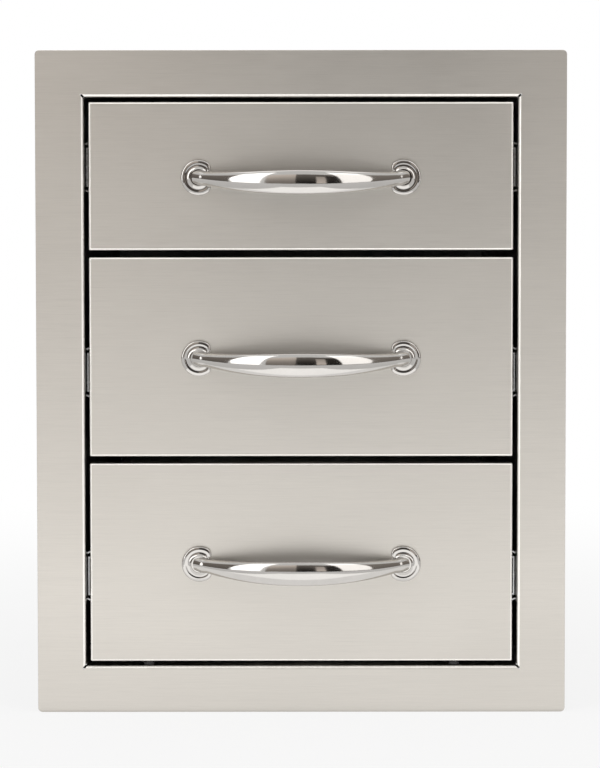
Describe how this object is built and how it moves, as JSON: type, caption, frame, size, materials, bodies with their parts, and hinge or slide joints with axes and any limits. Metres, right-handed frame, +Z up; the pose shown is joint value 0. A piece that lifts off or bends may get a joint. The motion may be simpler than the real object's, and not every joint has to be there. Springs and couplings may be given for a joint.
{
  "type": "outdoor kitchen drawer unit",
  "caption": "Built-in stainless steel drawer unit with a flush front frame, a folded housing and bow-handled drawers on ball-bearing slides.",
  "frame": {"origin": "middle of the bottom rail on the back face of the front flange", "axes": "+X to the right seen from the front, +Y into the island, +Z up; the drawers pull out towards -Y"},
  "size_m": [0.489, 0.5513, 0.612],
  "materials": {
    "front_steel": "fine horizontal brush, satin",
    "housing_steel": "mill finish sheet",
    "tray_steel": "mill finish sheet",
    "handle_metal": "polished",
    "slide_steel": "bright zinc plated",
    "retainer_steel": "bare spring steel with bright balls",
    "screw_steel": "turned stainless",
    "pad_rubber": "matt"
  },
  "bodies": {
    "housing": {"front_frame": "front_steel", "side_panel_left": "housing_steel", "side_panel_right": "housing_steel", "top_panel": "housing_steel", "bottom_panel": "housing_steel", "back_panel": "housing_steel", "rest_pad_left": "pad_rubber", "rest_pad_right": "pad_rubber", "bottom_slide_cabinet_member_left": "slide_steel", "bottom_slide_cabinet_member_right": "slide_steel", "middle_slide_cabinet_member_left": "slide_steel", "middle_slide_cabinet_member_right": "slide_steel", "top_slide_cabinet_member_left": "slide_steel", "top_slide_cabinet_member_right": "slide_steel"},
    "bottom_drawer": {"bottom_front_skin": "front_steel", "bottom_front_liner": "tray_steel", "bottom_tray": "tray_steel", "bottom_tray_back": "tray_steel", "bottom_handle": "handle_metal", "bottom_handle_screw_left": "screw_steel", "bottom_handle_screw_right": "screw_steel", "bottom_slide_drawer_member_left": "slide_steel", "bottom_slide_drawer_member_right": "slide_steel"},
    "bottom_intermediate_members": {"bottom_slide_intermediate_member_left": "slide_steel", "bottom_slide_intermediate_member_right": "slide_steel"},
    "bottom_outer_retainers": {"bottom_slide_outer_retainer_left": "retainer_steel", "bottom_slide_outer_retainer_right": "retainer_steel"},
    "bottom_inner_retainers": {"bottom_slide_inner_retainer_left": "retainer_steel", "bottom_slide_inner_retainer_right": "retainer_steel"},
    "middle_drawer": {"middle_front_skin": "front_steel", "middle_front_liner": "tray_steel", "middle_tray": "tray_steel", "middle_tray_back": "tray_steel", "middle_handle": "handle_metal", "middle_handle_screw_left": "screw_steel", "middle_handle_screw_right": "screw_steel", "middle_slide_drawer_member_left": "slide_steel", "middle_slide_drawer_member_right": "slide_steel"},
    "middle_intermediate_members": {"middle_slide_intermediate_member_left": "slide_steel", "middle_slide_intermediate_member_right": "slide_steel"},
    "middle_outer_retainers": {"middle_slide_outer_retainer_left": "retainer_steel", "middle_slide_outer_retainer_right": "retainer_steel"},
    "middle_inner_retainers": {"middle_slide_inner_retainer_left": "retainer_steel", "middle_slide_inner_retainer_right": "retainer_steel"},
    "top_drawer": {"top_front_skin": "front_steel", "top_front_liner": "tray_steel", "top_tray": "tray_steel", "top_tray_back": "tray_steel", "top_handle": "handle_metal", "top_handle_screw_left": "screw_steel", "top_handle_screw_right": "screw_steel", "top_slide_drawer_member_left": "slide_steel", "top_slide_drawer_member_right": "slide_steel"},
    "top_intermediate_members": {"top_slide_intermediate_member_left": "slide_steel", "top_slide_intermediate_member_right": "slide_steel"},
    "top_outer_retainers": {"top_slide_outer_retainer_left": "retainer_steel", "top_slide_outer_retainer_right": "retainer_steel"},
    "top_inner_retainers": {"top_slide_inner_retainer_left": "retainer_steel", "top_slide_inner_retainer_right": "retainer_steel"}
  },
  "joints": [
    {"name": "bottom_drawer_slide", "type": "slide", "parent": "housing", "child": "bottom_drawer", "axis": [0, -1, 0], "range_m": [0, 0.457]},
    {"name": "bottom_intermediate_slide", "type": "slide", "parent": "housing", "child": "bottom_intermediate_members", "axis": [0, -1, 0], "range_m": [0, 0.2285]},
    {"name": "bottom_outer_retainer_slide", "type": "slide", "parent": "housing", "child": "bottom_outer_retainers", "axis": [0, -1, 0], "range_m": [0, 0.11425]},
    {"name": "bottom_inner_retainer_slide", "type": "slide", "parent": "housing", "child": "bottom_inner_retainers", "axis": [0, -1, 0], "range_m": [0, 0.34275]},
    {"name": "middle_drawer_slide", "type": "slide", "parent": "housing", "child": "middle_drawer", "axis": [0, -1, 0], "range_m": [0, 0.457]},
    {"name": "middle_intermediate_slide", "type": "slide", "parent": "housing", "child": "middle_intermediate_members", "axis": [0, -1, 0], "range_m": [0, 0.2285]},
    {"name": "middle_outer_retainer_slide", "type": "slide", "parent": "housing", "child": "middle_outer_retainers", "axis": [0, -1, 0], "range_m": [0, 0.11425]},
    {"name": "middle_inner_retainer_slide", "type": "slide", "parent": "housing", "child": "middle_inner_retainers", "axis": [0, -1, 0], "range_m": [0, 0.34275]},
    {"name": "top_drawer_slide", "type": "slide", "parent": "housing", "child": "top_drawer", "axis": [0, -1, 0], "range_m": [0, 0.457]},
    {"name": "top_intermediate_slide", "type": "slide", "parent": "housing", "child": "top_intermediate_members", "axis": [0, -1, 0], "range_m": [0, 0.2285]},
    {"name": "top_outer_retainer_slide", "type": "slide", "parent": "housing", "child": "top_outer_retainers", "axis": [0, -1, 0], "range_m": [0, 0.11425]},
    {"name": "top_inner_retainer_slide", "type": "slide", "parent": "housing", "child": "top_inner_retainers", "axis": [0, -1, 0], "range_m": [0, 0.34275]}
  ],
  "couplings": [
    {"joint": "bottom_intermediate_slide", "follows": "bottom_drawer_slide", "ratio": 0.5},
    {"joint": "bottom_outer_retainer_slide", "follows": "bottom_drawer_slide", "ratio": 0.25},
    {"joint": "bottom_inner_retainer_slide", "follows": "bottom_drawer_slide", "ratio": 0.75},
    {"joint": "middle_intermediate_slide", "follows": "middle_drawer_slide", "ratio": 0.5},
    {"joint": "middle_outer_retainer_slide", "follows": "middle_drawer_slide", "ratio": 0.25},
    {"joint": "middle_inner_retainer_slide", "follows": "middle_drawer_slide", "ratio": 0.75},
    {"joint": "top_intermediate_slide", "follows": "top_drawer_slide", "ratio": 0.5},
    {"joint": "top_outer_retainer_slide", "follows": "top_drawer_slide", "ratio": 0.25},
    {"joint": "top_inner_retainer_slide", "follows": "top_drawer_slide", "ratio": 0.75}
  ]
}
